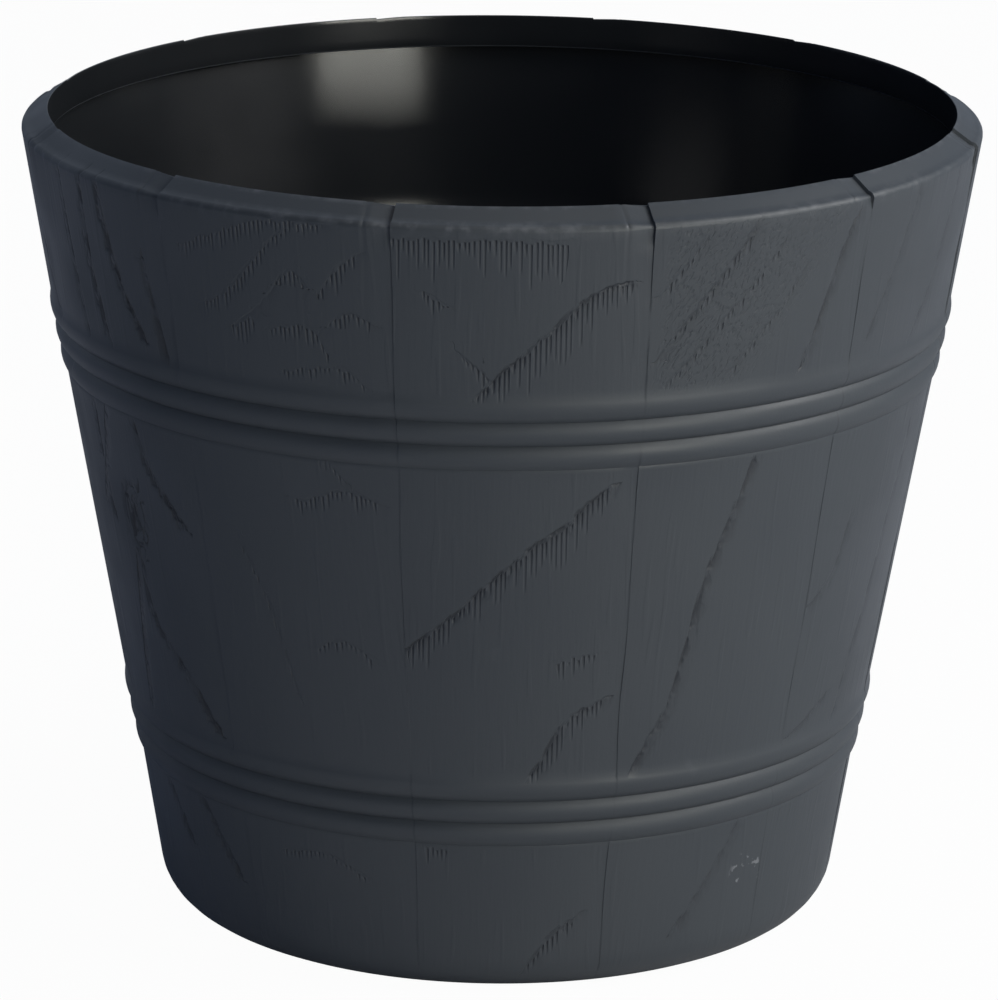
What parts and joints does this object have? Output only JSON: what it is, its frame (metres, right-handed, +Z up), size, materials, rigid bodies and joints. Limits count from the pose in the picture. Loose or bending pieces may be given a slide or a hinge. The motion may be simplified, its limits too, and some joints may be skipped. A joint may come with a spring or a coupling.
{
  "type": "plastic flower pot",
  "caption": "Round tapered floor planter moulded like a staved tub with two ribbed hoops, a turned-in rim and pull-out drain plugs.",
  "frame": {"origin": "middle of the base, on the ground the pot stands on", "axes": "+Z up along the pot's axis, -Y towards the front"},
  "size_m": [0.4, 0.4, 0.342],
  "materials": {
    "pot_plastic": "satin anthracite with moulded wood grain, smooth inside",
    "plug_rubber": "matt black"
  },
  "bodies": {
    "pot": {"pot_shell": "pot_plastic"},
    "plug_1": {"drain_plug_1": "plug_rubber"},
    "plug_2": {"drain_plug_2": "plug_rubber"},
    "plug_3": {"drain_plug_3": "plug_rubber"},
    "plug_4": {"drain_plug_4": "plug_rubber"}
  },
  "joints": [
    {"name": "plug_1_pull", "type": "slide", "parent": "pot", "child": "plug_1", "axis": [0, 0, 1], "range_m": [0, 0.36]},
    {"name": "plug_2_pull", "type": "slide", "parent": "pot", "child": "plug_2", "axis": [0, 0, 1], "range_m": [0, 0.36]},
    {"name": "plug_3_pull", "type": "slide", "parent": "pot", "child": "plug_3", "axis": [0, 0, 1], "range_m": [0, 0.36]},
    {"name": "plug_4_pull", "type": "slide", "parent": "pot", "child": "plug_4", "axis": [0, 0, 1], "range_m": [0, 0.36]}
  ]
}
